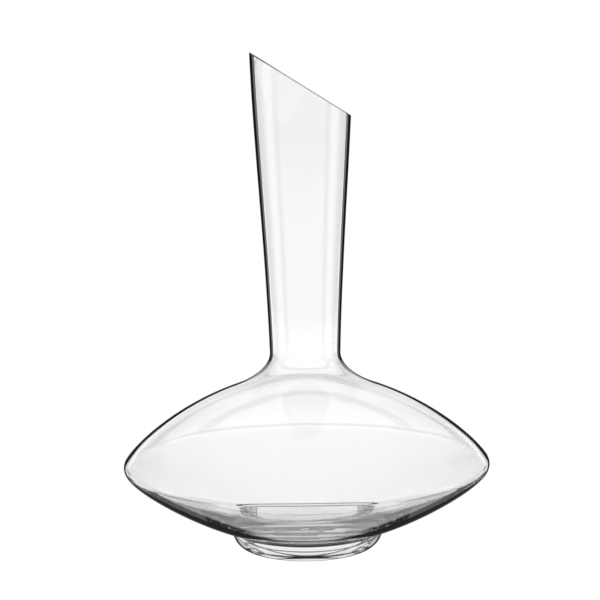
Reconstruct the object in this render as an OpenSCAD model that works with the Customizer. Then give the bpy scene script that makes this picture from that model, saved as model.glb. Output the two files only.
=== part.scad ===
// Wine decanter: a wide low bowl and a tall neck, blown as one piece of clear glass, on a fused ring foot.
// It stands on z = 0 with its axis on +Z. The mouth is cut on a slant that is high towards -X.
// The vessel's outside is a chain of cubic curves that meet smoothly, and its inside is the same chain
// moved inwards by the wall.

/* [Bowl] */
// Outside diameter at the widest line
bowl_d = 200; // [190:1:210]
// Height of the widest line above the table
bowl_mid_h = 46.8; // [45:0.2:50]
// Radius of the rounded edge along the widest line
bulge_r = 5; // [4:0.5:7]
// How far the rounded edge turns below the widest line
bulge_below = 27; // [22:1:32]
// How far the rounded edge turns above the widest line
bulge_above = 34.5; // [30:0.5:38]
// Slope of the underside where it leaves the foot
under_slope = 17; // [14:0.5:20]

/* [Shoulder and neck] */
// Outside diameter where the shoulder starts to turn up into the neck
shoulder_d = 82; // [76:1:88]
// Height of that place
shoulder_h = 88.6; // [85:0.2:92]
// Slope of the shoulder there
shoulder_slope = 20; // [17:0.5:23]
// Outside diameter at the throat, the narrowest place
throat_d = 38.5; // [34:0.5:42]
// Height of the throat
throat_h = 108.2; // [105:0.2:112]
// How far the neck flares outwards just above the throat, from upright
throat_flare = 1.8; // [1:0.1:2.5]
// Outside diameter of the neck where it would end without the slanted cut
top_d = 55.9; // [50:0.1:62]
// Height at which the neck would end without the slanted cut
top_h = 276; // [275:1:280]
// How far the neck still flares at its top, from upright
top_flare = 1.3; // [0.8:0.1:2]
// Height at which the slanted mouth crosses the axis
mouth_mid_h = 252.8; // [246:0.2:253]
// Slant of the mouth, from level
mouth_slant = 32.4; // [20:0.2:33]

/* [Glass wall] */
// Wall in the middle of the bottom
base_wall = 4.4; // [3.5:0.1:5]
// Wall over the foot
seat_wall = 3.6; // [3:0.1:4.5]
// Wall along the widest line
bulge_wall = 1.6; // [1.2:0.1:2]
// Wall of the shoulder
shoulder_wall = 1.2; // [1:0.1:1.6]
// Wall of the neck
neck_wall = 1.5; // [1.2:0.1:2]

/* [Foot] */
// Outside diameter of the foot where it meets the bowl
foot_d = 83; // [76:0.5:86]
// Height of the crease between the foot and the bowl
foot_h = 10.7; // [10:0.1:13]
// Outside diameter of the flat ring that rests on the table
rest_d = 64.6; // [60:0.2:68]
// Width of the resting ring
rest_w = 1.7; // [1.2:0.1:3]
// Wall of the foot where it meets the bowl
foot_wall = 3.2; // [2.5:0.1:4]

/* [Hidden] */
$fn = 96;

// Points along each curve of the vessel, from the bottom's middle to the top of the neck
BOTTOM_STEPS = 8;
SEAT_STEPS = 1;
UNDER_STEPS = 14;
BULGE_STEPS = 8;
SHOULDER_STEPS = 16;
COLLAR_STEPS = 10;
NECK_STEPS = 16;
FOOT_STEPS = 12;

// A direction from level, of a given length
function polar(angle, length) = [length * cos(angle), length * sin(angle)];

// A value part of the way from a to b: evenly, and easing out of a and into b
function mix(a, b, t) = a + (b - a) * t;
function ease(a, b, t) = mix(a, b, t * t * (3 - 2 * t));

// The place on a cubic curve, and the way that it runs there
function place(c, t) =
    pow(1 - t, 3) * c[0] + 3 * pow(1 - t, 2) * t * c[1] + 3 * (1 - t) * t * t * c[2] + pow(t, 3) * c[3];
function way(c, t) =
    pow(1 - t, 2) * (c[1] - c[0]) + 2 * (1 - t) * t * (c[2] - c[1]) + t * t * (c[3] - c[2]);

// Unit vector to the left of a direction, which is into the vessel for a curve that runs upwards
function left_of(v) = [-v[1], v[0]] / norm(v);

// A straight line as a cubic curve
function line_curve(a, b) = [a, mix(a, b, 1 / 3), mix(a, b, 2 / 3), b];

// Points of a curve, its last one left out, moved left by a wall that goes from w0 to w1
function moved(c, w0, w1, steps) =
    [for (i = [0:steps - 1]) place(c, i / steps) + ease(w0, w1, i / steps) * left_of(way(c, i / steps))];

function reversed(list) = [for (i = [len(list) - 1:-1:0]) list[i]];

// Where the foot's wall joins the vessel's underside: a narrow cone
crease = [foot_d / 2, foot_h];
seat_inner = crease - [foot_wall, foot_wall * tan(under_slope)];

// The bottom's middle, low enough for an even arc out to the foot
bottom_mid = [0, seat_inner[1] - seat_inner[0] * tan(under_slope / 2)];
bottom_reach = seat_inner[0] * 0.34;

// The rounded edge along the widest line
bulge_centre = [bowl_d / 2 - bulge_r, bowl_mid_h];
bulge_low = bulge_centre + polar(-bulge_below, bulge_r);
bulge_high = bulge_centre + polar(bulge_above, bulge_r);
bulge_reach = bulge_r * 4 / 3 * tan((bulge_below + bulge_above) / 4);

shoulder = [shoulder_d / 2, shoulder_h];
throat = [throat_d / 2, throat_h];
top = [top_d / 2, top_h];

// The vessel's outside, as curves that share their ends
outside = [
    [
        bottom_mid,
        bottom_mid + polar(0, bottom_reach),
        seat_inner - polar(under_slope, bottom_reach),
        seat_inner
    ],
    line_curve(seat_inner, crease),
    [
        crease,
        crease + polar(under_slope, 24),
        bulge_low - polar(90 - bulge_below, 8),
        bulge_low
    ],
    [
        bulge_low,
        bulge_low + polar(90 - bulge_below, bulge_reach),
        bulge_high - polar(90 + bulge_above, bulge_reach),
        bulge_high
    ],
    [
        bulge_high,
        bulge_high + polar(90 + bulge_above, 11.5),
        shoulder + polar(-shoulder_slope, 31.5),
        shoulder
    ],
    [
        shoulder,
        shoulder + polar(180 - shoulder_slope, 10.5),
        throat - polar(90 - throat_flare, 9.1),
        throat
    ],
    [
        throat,
        throat + polar(90 - throat_flare, 65.6),
        top - polar(90 - top_flare, 55),
        top
    ]
];
steps = [BOTTOM_STEPS, SEAT_STEPS, UNDER_STEPS, BULGE_STEPS, SHOULDER_STEPS, COLLAR_STEPS, NECK_STEPS];
walls = [base_wall, seat_wall, seat_wall, bulge_wall, bulge_wall, shoulder_wall, neck_wall, neck_wall];
last = len(outside) - 1;

outer_points = [
    for (k = [0:last]) each moved(outside[k], 0, 0, steps[k]),
    top
];
inner_points = [
    for (k = [0:last]) each moved(outside[k], walls[k], walls[k + 1], steps[k]),
    top + neck_wall * left_of(way(outside[last], 1))
];

// The foot's wall curls in from the crease to the resting ring
rest_outer = [rest_d / 2, 0];
rest_inner = [rest_d / 2 - rest_w, 0];
foot_outside = [rest_outer, rest_outer + [4.2, 0], crease - [0, 6.7], crease];
foot_inside = [rest_inner, rest_inner + [0, 2], seat_inner - [0, 6], seat_inner];

// A half space above the slanted mouth, big enough to take the neck's top off
module above_mouth() {
    reach = 2 * top_d;
    translate([0, 0, mouth_mid_h])
        rotate([0, mouth_slant, 0])
            translate([-reach / 2, -reach / 2, 0])
                cube(reach);
}

// Bowl and neck: one blown shell, open at the slanted mouth
module vessel() {
    color([0.86, 0.92, 0.93, 0.4])
        difference() {
            rotate_extrude()
                polygon(concat(outer_points, reversed(inner_points)));
            above_mouth();
        }
}

// Foot: an open ring with a curled wall, its top face on the vessel's underside
module foot() {
    color([0.8, 0.88, 0.9, 0.5])
        rotate_extrude()
            polygon(concat(
                moved(foot_outside, 0, 0, FOOT_STEPS),
                [crease, seat_inner],
                reversed(moved(foot_inside, 0, 0, FOOT_STEPS))
            ));
}

vessel();
foot();
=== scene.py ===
"""A clear glass wine decanter on plain white.

The vessel and its foot are smooth lathed meshes that stand for the two CAD nodes. Lengths are in metres,
angles in degrees.
"""

import math

import bpy
from mathutils import Matrix, Vector, noise


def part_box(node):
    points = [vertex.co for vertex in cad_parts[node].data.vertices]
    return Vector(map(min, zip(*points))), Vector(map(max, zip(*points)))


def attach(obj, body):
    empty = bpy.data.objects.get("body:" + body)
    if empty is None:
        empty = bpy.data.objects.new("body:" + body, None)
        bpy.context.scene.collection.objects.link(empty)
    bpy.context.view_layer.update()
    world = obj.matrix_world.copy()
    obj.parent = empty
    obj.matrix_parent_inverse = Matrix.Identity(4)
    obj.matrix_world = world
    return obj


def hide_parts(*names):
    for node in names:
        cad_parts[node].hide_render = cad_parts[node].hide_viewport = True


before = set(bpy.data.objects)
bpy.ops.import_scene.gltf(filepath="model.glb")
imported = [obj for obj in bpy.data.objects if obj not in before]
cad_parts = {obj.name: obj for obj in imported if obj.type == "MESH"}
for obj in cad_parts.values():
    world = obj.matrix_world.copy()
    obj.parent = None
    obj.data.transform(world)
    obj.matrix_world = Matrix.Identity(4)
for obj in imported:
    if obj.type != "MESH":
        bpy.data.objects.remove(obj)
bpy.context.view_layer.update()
vessel_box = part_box("vessel")
foot_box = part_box("foot")

MM = 0.001

# ---------------------------------------------------------------- dimensions

# From the frame
BOWL_R = vessel_box[1].x
FOOT_R = foot_box[1].x
FOOT_H = foot_box[1].z

# Repeated from part.scad
BOWL_MID_H = 46.8 * MM
BULGE_R = 5 * MM
BULGE_BELOW = 27
BULGE_ABOVE = 34.5
UNDER_SLOPE = 17
SHOULDER = (41 * MM, 88.6 * MM)
SHOULDER_SLOPE = 20
THROAT = (19.25 * MM, 108.2 * MM)
THROAT_FLARE = 1.8
TOP = (27.95 * MM, 276 * MM)
TOP_FLARE = 1.3
MOUTH_H = 252.8 * MM
MOUTH_SLANT = 32.4
FOOT_WALL = 3.2 * MM
REST_R = 32.3 * MM
REST_W = 1.7 * MM

# Wall of the vessel at the ends of its curves, from the bottom's middle to the mouth
WALLS = [w * MM for w in (4.4, 3.6, 3.6, 1.6, 1.6, 1.2, 1.5, 1.5)]

# How far the handles of the vessel's cubic curves reach, from the bottom's middle to the top of the neck
BOTTOM_REACH = 0.34  # of the radius of the fused face's inner edge
UNDER_REACH = (24 * MM, 8 * MM)
SHOULDER_REACH = (11.5 * MM, 31.5 * MM)
COLLAR_REACH = (10.5 * MM, 9.1 * MM)
NECK_REACH = (65.6 * MM, 55 * MM)

# The foot's outside curls out by this much from the resting ring, and drops this far from the crease
FOOT_CURL = 4.2 * MM
FOOT_DROP = 6.7 * MM

# The foot's inside drops this far from the fused face, and comes in with this handle to a rounded edge of
# this size
FOOT_INNER_DROP = 5 * MM
FOOT_INNER_CURL = Vector((1.2 * MM, 2.0 * MM))
FOOT_EDGE = 1.2 * MM

# The foot's top is sunk this far into the vessel, so that the two read as one fused piece of glass
FUSE = 0.15 * MM

# Steps of the foot's outside, its inside, its rounded edge and its fused face, and steps of the neck
FOOT_STEPS = 40
FOOT_INNER_STEPS = 36
FOOT_EDGE_STEPS = 8
FUSE_STEPS = 6
NECK_STEPS = 48

# Sections round the axis
SIDES = 192

# The swell of blown glass: its size, and its height and place in the noise outside and inside
SWELL_SIZE = 34 * MM
SWELL_OUTSIDE = (0.05 * MM, 3.0)
SWELL_INSIDE = (0.10 * MM, 7.0)

# ---------------------------------------------------------------- curves


def polar(angle, length):
    """A step of a given length at an angle above level."""
    return Vector((math.cos(math.radians(angle)), math.sin(math.radians(angle)))) * length


def ease(a, b, t):
    """A value that eases out of a and into b."""
    return a + (b - a) * t * t * (3 - 2 * t)


def place(c, t):
    """The point at t on a cubic curve."""
    s = 1 - t
    return c[0] * s**3 + c[1] * 3 * s * s * t + c[2] * 3 * s * t * t + c[3] * t**3


def inward(c, t):
    """The unit vector to the left of a cubic curve, which is into the glass."""
    s = 1 - t
    way = (c[1] - c[0]) * s * s + (c[2] - c[1]) * 2 * s * t + (c[3] - c[2]) * t * t
    return Vector((-way.y, way.x)).normalized()


def straight(a, b):
    """A line as a cubic curve."""
    return [a, a.lerp(b, 1 / 3), a.lerp(b, 2 / 3), b]


def trace(c, steps, wall_from=0.0, wall_to=0.0):
    """Points along a curve, its last one left out, moved into the glass by a wall."""
    made = []
    for i in range(steps):
        t = i / steps
        made.append(place(c, t) + inward(c, t) * ease(wall_from, wall_to, t))
    return made


# ---------------------------------------------------------------- the vessel's outline

crease = Vector((FOOT_R, FOOT_H))
seat_inner = crease - Vector((FOOT_WALL, FOOT_WALL * math.tan(math.radians(UNDER_SLOPE))))
bottom_mid = Vector((0, seat_inner.y - seat_inner.x * math.tan(math.radians(UNDER_SLOPE / 2))))
bottom_reach = seat_inner.x * BOTTOM_REACH

bulge_centre = Vector((BOWL_R - BULGE_R, BOWL_MID_H))
bulge_low = bulge_centre + polar(-BULGE_BELOW, BULGE_R)
bulge_high = bulge_centre + polar(BULGE_ABOVE, BULGE_R)
bulge_reach = BULGE_R * 4 / 3 * math.tan(math.radians((BULGE_BELOW + BULGE_ABOVE) / 4))

shoulder = Vector(SHOULDER)
throat = Vector(THROAT)
top = Vector(TOP)

# Each curve with its number of steps; they meet smoothly
BODY = [
    (
        [
            bottom_mid,
            bottom_mid + polar(0, bottom_reach),
            seat_inner - polar(UNDER_SLOPE, bottom_reach),
            seat_inner,
        ],
        16,
    ),
    (straight(seat_inner, crease), 4),
    (
        [
            crease,
            crease + polar(UNDER_SLOPE, UNDER_REACH[0]),
            bulge_low - polar(90 - BULGE_BELOW, UNDER_REACH[1]),
            bulge_low,
        ],
        26,
    ),
    (
        [
            bulge_low,
            bulge_low + polar(90 - BULGE_BELOW, bulge_reach),
            bulge_high - polar(90 + BULGE_ABOVE, bulge_reach),
            bulge_high,
        ],
        16,
    ),
    (
        [
            bulge_high,
            bulge_high + polar(90 + BULGE_ABOVE, SHOULDER_REACH[0]),
            shoulder + polar(-SHOULDER_SLOPE, SHOULDER_REACH[1]),
            shoulder,
        ],
        30,
    ),
    (
        [
            shoulder,
            shoulder + polar(180 - SHOULDER_SLOPE, COLLAR_REACH[0]),
            throat - polar(90 - THROAT_FLARE, COLLAR_REACH[1]),
            throat,
        ],
        18,
    ),
]
NECK = [
    throat,
    throat + polar(90 - THROAT_FLARE, NECK_REACH[0]),
    top - polar(90 - TOP_FLARE, NECK_REACH[1]),
    top,
]
NECK_WALL = WALLS[-1]

# The slanted cut is flat, with its two edges melted round over this length
LIP_EDGE = 0.5 * MM
LIP_STEPS = 5

# The place of the cut on the neck's curve is found by halving the curve this many times
HALVINGS = 40


def melted(a, corner, b, steps):
    """Points that round off a corner from a to b, both ends left out."""
    made = []
    for i in range(1, steps):
        t = i / steps
        made.append(a * (1 - t) ** 2 + corner * 2 * t * (1 - t) + b * t * t)
    return made


def neck_run(turn, wall, below):
    """The part of the neck's curve, moved in by a wall, that stays below the slanted cut by some height."""
    low, high = 0.0, 1.0
    for _ in range(HALVINGS):
        t = (low + high) / 2
        p = place(NECK, t) + inward(NECK, t) * wall
        if p.y + below < MOUTH_H - p.x * math.cos(turn) * math.tan(math.radians(MOUTH_SLANT)):
            low = t
        else:
            high = t
    steps = [low * j / NECK_STEPS for j in range(NECK_STEPS + 1)]
    return [place(NECK, t) + inward(NECK, t) * wall for t in steps]


def vessel_section(turn):
    """The vessel's section at one turn round the axis: up the outside, over the lip, down the inside."""
    outside, inside = [], []
    for k, (c, steps) in enumerate(BODY):
        outside += trace(c, steps)
        inside += trace(c, steps, WALLS[k], WALLS[k + 1])
    outside += neck_run(turn, 0, LIP_EDGE)
    inside += neck_run(turn, NECK_WALL, LIP_EDGE)
    outer_edge = neck_run(turn, 0, 0)[-1]
    inner_edge = neck_run(turn, NECK_WALL, 0)[-1]
    along = (inner_edge - outer_edge).normalized() * LIP_EDGE
    flat = [outer_edge + along, inner_edge - along]
    lip = melted(outside[-1], outer_edge, flat[0], LIP_STEPS) + flat
    lip += melted(flat[1], inner_edge, inside[-1], LIP_STEPS)
    return outside + lip + inside[::-1]


def foot_section(turn):
    """The foot's closed section: up its outside, in along the fused face, down its inside, round the rest."""
    rest_outer = Vector((REST_R, 0))
    rest_inner = Vector((REST_R - REST_W, 0))
    sunk = polar(90 + UNDER_SLOPE, FUSE)
    outer = [
        rest_outer,
        rest_outer + Vector((FOOT_CURL, 0)),
        crease - Vector((0, FOOT_DROP)),
        crease,
    ]
    edge_top = rest_inner + Vector((-0.4, 1)) * FOOT_EDGE
    inner = [
        seat_inner,
        seat_inner - Vector((0, FOOT_INNER_DROP)),
        edge_top + FOOT_INNER_CURL,
        edge_top,
    ]
    # The edge turns round in steps that are parts of its size
    edge = [
        edge_top,
        edge_top - Vector((0.35, 0.6)) * FOOT_EDGE,
        rest_inner - Vector((0.1, 0)) * FOOT_EDGE,
        rest_inner,
    ]
    section = trace(outer, FOOT_STEPS)
    section += [crease]
    section += [(crease + sunk).lerp(seat_inner + sunk, i / FUSE_STEPS) for i in range(FUSE_STEPS + 1)]
    section += trace(inner, FOOT_INNER_STEPS)
    section += trace(edge, FOOT_EDGE_STEPS)
    section += [rest_inner, rest_inner.lerp(rest_outer, 0.5)]
    return section


# ---------------------------------------------------------------- meshes


def wander(point, size, height, seed):
    """A small even swell of blown glass: how far a point is moved out from the axis."""
    return noise.noise(point / size + Vector((seed, seed * 2, seed * 3))) * height


def lathe(name, section, closed_on_axis, swell, outside):
    """A mesh of sections round the axis.

    swell moves a point of the mesh. outside says whether a point is on the outside, and the mesh keeps that
    for its material.
    """
    rings = [section(2 * math.pi * k / SIDES) for k in range(SIDES)]
    count = len(rings[0])
    verts, faces, skin = [], [], []
    for k, ring in enumerate(rings):
        turn = 2 * math.pi * k / SIDES
        for i, p in enumerate(ring):
            on_axis = closed_on_axis and i in (0, count - 1)
            if on_axis and k > 0:
                continue
            point = Vector((p.x * math.cos(turn), p.x * math.sin(turn), p.y))
            verts.append(swell(point, i, count))
            skin.append(1.0 if outside(i, count) else 0.0)
    if closed_on_axis:
        per = count - 2

        def index(k, i):
            if i == 0:
                return 0
            if i == count - 1:
                return count - 1
            return i if k == 0 else count + (k - 1) * per + i - 1

    else:

        def index(k, i):
            return k * count + i % count

    for k in range(SIDES):
        n = (k + 1) % SIDES
        for i in range(count - 1 if closed_on_axis else count):
            loop = [index(k, i), index(n, i), index(n, i + 1), index(k, i + 1)]
            face = [v for j, v in enumerate(loop) if v not in loop[:j]]
            faces.append(face)
    mesh = bpy.data.meshes.new(name)
    mesh.from_pydata(verts, [], faces)
    mesh.polygons.foreach_set("use_smooth", [True] * len(mesh.polygons))
    mesh.attributes.new("outside", "FLOAT", "POINT").data.foreach_set("value", skin)
    mesh.validate()
    mesh.update()
    piece = bpy.data.objects.new(name, mesh)
    bpy.context.scene.collection.objects.link(piece)
    return piece


def vessel_outside(i, count):
    return i <= count / 2


def foot_outside(i, count):
    return i <= FOOT_STEPS


def vessel_swell(point, i, count):
    flat = Vector((point.x, point.y, 0))
    if flat.length < 1 * MM:
        return point
    height, seed = SWELL_OUTSIDE if vessel_outside(i, count) else SWELL_INSIDE
    return point + flat.normalized() * wander(point, SWELL_SIZE, height, seed)


def no_swell(point, i, count):
    return point


vessel = lathe("vessel_glass", vessel_section, True, vessel_swell, vessel_outside)
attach(vessel, "root")
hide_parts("vessel")

foot = lathe("foot_glass", foot_section, False, no_swell, foot_outside)
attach(foot, "root")
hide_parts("foot")

# ---------------------------------------------------------------- node helpers


class Graph:
    """Short calls for making a shader's nodes."""

    def __init__(self, tree):
        self.tree = tree
        tree.nodes.clear()

    def node(self, kind, values=None, **settings):
        made = self.tree.nodes.new(kind)
        for key, value in settings.items():
            setattr(made, key, value)
        for key, value in (values or {}).items():
            if isinstance(value, bpy.types.NodeSocket):
                self.tree.links.new(value, made.inputs[key])
            else:
                made.inputs[key].default_value = value
        return made

    def math(self, operation, *values):
        return self.node("ShaderNodeMath", dict(enumerate(values)), operation=operation).outputs[0]

    def fade(self, value, start, end, to_start=0.0, to_end=1.0):
        """A smooth step from to_start at start to to_end at end."""
        made = self.node(
            "ShaderNodeMapRange",
            {"Value": value, "From Min": start, "From Max": end, "To Min": to_start, "To Max": to_end},
            interpolation_type="SMOOTHSTEP",
        )
        return made.outputs["Result"]

    def mix(self, factor, a, b):
        """a where the factor is 0, b where it is 1."""
        return self.node("ShaderNodeMix", {0: factor, 2: a, 3: b}, data_type="FLOAT").outputs[0]


# ---------------------------------------------------------------- glass


# Painted shade: the glass's colour is darkened where its outside is seen nearly edge-on, which paints its
# dark outlines. It starts from this much on, where 0 is straight on and 1 is edge-on. The smaller the radius,
# the less edge-on it has to be.
EDGE_ON_FOOT = 0.75
EDGE_ON_BULGE = 0.81
EDGE_ON_SHOULDER = 0.84
EDGE_ON_NECK = 0.56
EDGE_ON_FADE = 0.025

# The faint ripple of the glass: its scale on each piece, and its height
VESSEL_RIPPLE = 60
FOOT_RIPPLE = 80
RIPPLE_H = 0.02 * MM

# Painted shade: dark lines painted into the glass's colour at some narrow places: the slant of each line, its
# lowest and highest height, and how much of the colour is left in it. They are the melted edges of the mouth,
# and on the foot the crease under the bowl, the fold above its rim and the resting rim itself.
VESSEL_PAINTED_LINES = [(MOUTH_SLANT, MOUTH_H - 0.8 * MM, MOUTH_H + MM, 0.25)]
FOOT_PAINTED_LINES = [
    (0, FOOT_H - 1.0 * MM, FOOT_H + MM, 0.03),
    (0, 3.2 * MM, 4.3 * MM, 0.03),
    (0, -MM, 0.5 * MM, 0.15),
]
LINE_FADE = 0.2 * MM


def edge_on_painted_shade(g, height):
    """1 where the outside is seen too nearly edge-on, 0 elsewhere: the mask of the painted shade on the
    outlines.
    """
    edge_on = g.node("ShaderNodeLayerWeight", {"Blend": 0.5}).outputs["Facing"]
    limit = g.fade(height, FOOT_H, FOOT_H + MM, EDGE_ON_FOOT, EDGE_ON_BULGE)
    above_bulge = (BOWL_MID_H + BULGE_R, BOWL_MID_H + 3 * BULGE_R)
    limit = g.fade(height, *above_bulge, limit, EDGE_ON_SHOULDER)
    limit = g.fade(height, SHOULDER[1], THROAT[1], limit, EDGE_ON_NECK)
    painted_outline_shade = g.fade(g.math("SUBTRACT", edge_on, limit), 0.0, EDGE_ON_FADE)
    outside = g.node("ShaderNodeAttribute", attribute_name="outside").outputs["Fac"]
    return g.math("MULTIPLY", painted_outline_shade, outside)


def glass(name, ripple, painted_lines):
    """Clear glass with a faint ripple, with painted shade in its colour: dark outlines where seen edge-on,
    and dark lines.
    """
    material = bpy.data.materials.new(name)
    material.use_nodes = True
    g = Graph(material.node_tree)
    coords = g.node("ShaderNodeTexCoord").outputs["Object"]
    spot = g.node("ShaderNodeSeparateXYZ", {0: coords}).outputs
    # Painted shade: the glass's colour is darkened at its outlines and along the painted lines
    clear = g.math("SUBTRACT", 1.0, edge_on_painted_shade(g, spot["Z"]))
    leaving = g.node("ShaderNodeNewGeometry").outputs["Backfacing"]
    # Painted shade: each line darkens the colour, only on faces seen from outside
    for slant, low, high, painted_line_level in painted_lines:
        rise = g.math("MULTIPLY", spot["X"], math.tan(math.radians(slant)))
        level = g.math("ADD", spot["Z"], rise)
        painted_line_dim = g.fade(level, low - LINE_FADE, low, 1.0, painted_line_level)
        painted_line_dim = g.fade(level, high, high + LINE_FADE, painted_line_dim, 1.0)
        clear = g.math("MULTIPLY", clear, g.math("MAXIMUM", painted_line_dim, leaving))
    waves = g.node("ShaderNodeTexNoise", {"Vector": coords, "Scale": ripple, "Detail": 2.0})
    bump = g.node("ShaderNodeBump", {"Height": waves.outputs["Fac"], "Strength": 0.3, "Distance": RIPPLE_H})
    shader = g.node(
        "ShaderNodeBsdfPrincipled",
        {
            "Base Color": clear,
            "Roughness": 0.0,
            "IOR": 1.5,
            "Transmission Weight": 1.0,
            "Normal": bump.outputs["Normal"],
        },
    )
    g.node("ShaderNodeOutputMaterial", {"Surface": shader.outputs[0]})
    return material


vessel.data.materials.append(glass("clear_glass", VESSEL_RIPPLE, VESSEL_PAINTED_LINES))
foot.data.materials.append(glass("foot_clear_glass", FOOT_RIPPLE, FOOT_PAINTED_LINES))

# ---------------------------------------------------------------- stage

FLOOR_R = 6.0
# Just under the foot, so that the two don't touch
FLOOR_H = -0.2 * MM

floor_mesh = bpy.data.meshes.new("floor")
corners = [(FLOOR_R * x, FLOOR_R * y, 0) for x, y in ((-1, -1), (1, -1), (1, 1), (-1, 1))]
floor_mesh.from_pydata(corners, [], [(0, 1, 2, 3)])
floor = bpy.data.objects.new("floor", floor_mesh)
bpy.context.scene.collection.objects.link(floor)
floor.location.z = FLOOR_H
# The glass shows the world's bright table in place of the floor
floor.visible_transmission = False
floor.visible_glossy = False
paper = bpy.data.materials.new("white_paper")
paper.use_nodes = True
g = Graph(paper.node_tree)
g.node("ShaderNodeOutputMaterial", {"Surface": g.node("ShaderNodeEmission", {"Strength": 1.0}).outputs[0]})
floor_mesh.materials.append(paper)

# ---------------------------------------------------------------- world

# What is seen directly is white. What the glass shows has two sets of cards: one for light that comes
# through it and one for what it mirrors. Directions are an azimuth from +Y towards +X and an elevation.
# Each card is painted over the ones before it: its azimuth, half width and edge, its lowest elevation and
# edge, its highest elevation and edge, and its light.
SEEN_THROUGH = [
    # A dark room, and a bright table under the glass
    (0, 180, 1, -95, 1, 95, 1, 0.1),
    (0, 180, 1, -95, 1, -60, 1, 0.85),
    # The table beyond the glass
    (0, 50, 4, -54, 1, -36, 1, 0.8),
    # The far wall, the dark gap over it and the ceiling
    (0, 50, 4, -13.5, 1, -6, 1, 1.08),
    (0, 30, 4, -7, 1, 6, 1, 1.05),
    (0, 60, 5, 6, 1, 12, 2, 0.12),
    (0, 20, 4, 6, 1, 36, 4, 0.62),
    # The backdrop, brightest in its middle, and the paper that runs down from it
    (0, 20, 1, -28, 1, -16, 1, 0.9),
    (0, 15, 1, -18, 1, 1.5, 0.5, 0.95),
    (0, 15, 1, -18, 1, -8.5, 1, 1.06),
    (0, 15, 1, -13, 2, -8.5, 1, 1.1),
    # Backdrops for looking from the corners, the sides and the back
    (-45, 12, 2, -33, 2, -16, 2, 1.0),
    (135, 14, 2, -33, 2, -8, 2, 1.0),
    (-90, 14, 2, -24, 2, 4, 2, 1.0),
    (90, 14, 2, -24, 2, 4, 2, 1.0),
    (180, 60, 5, -27, 2, 4, 2, 0.9),
]
MIRRORED = [
    # A bright room with a dark table, and the table's bright ring round the foot
    (0, 180, 1, -95, 1, 95, 1, 1.0),
    (0, 180, 1, -95, 1, -20, 2, 0.04),
    (0, 180, 1, -60, 2, -40, 2, 1.0),
    (0, 8, 1, -46, 2, -36, 2, 0.8),
    # A dark card behind the decanter, and a grey one behind the camera
    (0, 40, 2, -20, 2, 3.5, 1, 0.03),
    (180, 70, 5, -9, 2, 3.5, 2, 0.44),
]

world = bpy.data.worlds.new("studio")
bpy.context.scene.world = world
world.use_nodes = True
g = Graph(world.node_tree)
way = g.node("ShaderNodeTexCoord").outputs["Generated"]
axes = g.node("ShaderNodeSeparateXYZ", {0: way})
azimuth = g.math("ARCTAN2", axes.outputs["X"], axes.outputs["Y"])
elevation = g.math("ARCSINE", axes.outputs["Z"])
rad = math.radians


def between(value, low, low_edge, high, high_edge):
    """1 between two angles, 0 outside them, with soft edges."""
    start = g.fade(value, rad(low - low_edge), rad(low + low_edge))
    end = g.fade(value, rad(high - high_edge), rad(high + high_edge), 1.0, 0.0)
    return g.math("MULTIPLY", start, end)


def painted(cards):
    """The light from each direction, once all the cards are painted."""
    light = 0.0
    for centre, half, edge, low, low_edge, high, high_edge, level in cards:
        off = g.math("WRAP", g.math("SUBTRACT", azimuth, rad(centre)), math.pi, -math.pi)
        across = between(off, -half, edge, half, edge)
        up = between(elevation, low, low_edge, high, high_edge)
        light = g.mix(g.math("MULTIPLY", across, up), light, level)
    return light


path = g.node("ShaderNodeLightPath")
in_glass = g.mix(path.outputs["Is Transmission Ray"], painted(MIRRORED), painted(SEEN_THROUGH))
strength = g.mix(path.outputs["Is Camera Ray"], in_glass, 1.0)
light = g.node("ShaderNodeBackground", {"Color": (1, 1, 1, 1), "Strength": strength})
g.node("ShaderNodeOutputWorld", {"Surface": light.outputs[0]})

# ---------------------------------------------------------------- camera

CAMERA_AWAY = 0.943
CAMERA_DOWN = 7.03
CAMERA_LEFT = 0.147
CAMERA_ROLL = -0.8
CAMERA_LENS = 104.9

camera_data = bpy.data.cameras.new("camera")
camera_data.sensor_width = 36
camera_data.lens = CAMERA_LENS
camera = bpy.data.objects.new("camera", camera_data)
bpy.context.scene.collection.objects.link(camera)
camera.matrix_world = (
    Matrix.Translation((0, -CAMERA_AWAY, MOUTH_H))
    @ Matrix.Rotation(rad(CAMERA_LEFT), 4, "Z")
    @ Matrix.Rotation(rad(90 - CAMERA_DOWN), 4, "X")
    @ Matrix.Rotation(rad(CAMERA_ROLL), 4, "Z")
)
bpy.context.scene.camera = camera

scene = bpy.context.scene
scene.view_settings.view_transform = "Standard"
# Light is mirrored many times inside the glass wall before it gets out
scene.cycles.max_bounces = 128
scene.cycles.transmission_bounces = 128
scene.cycles.glossy_bounces = 64
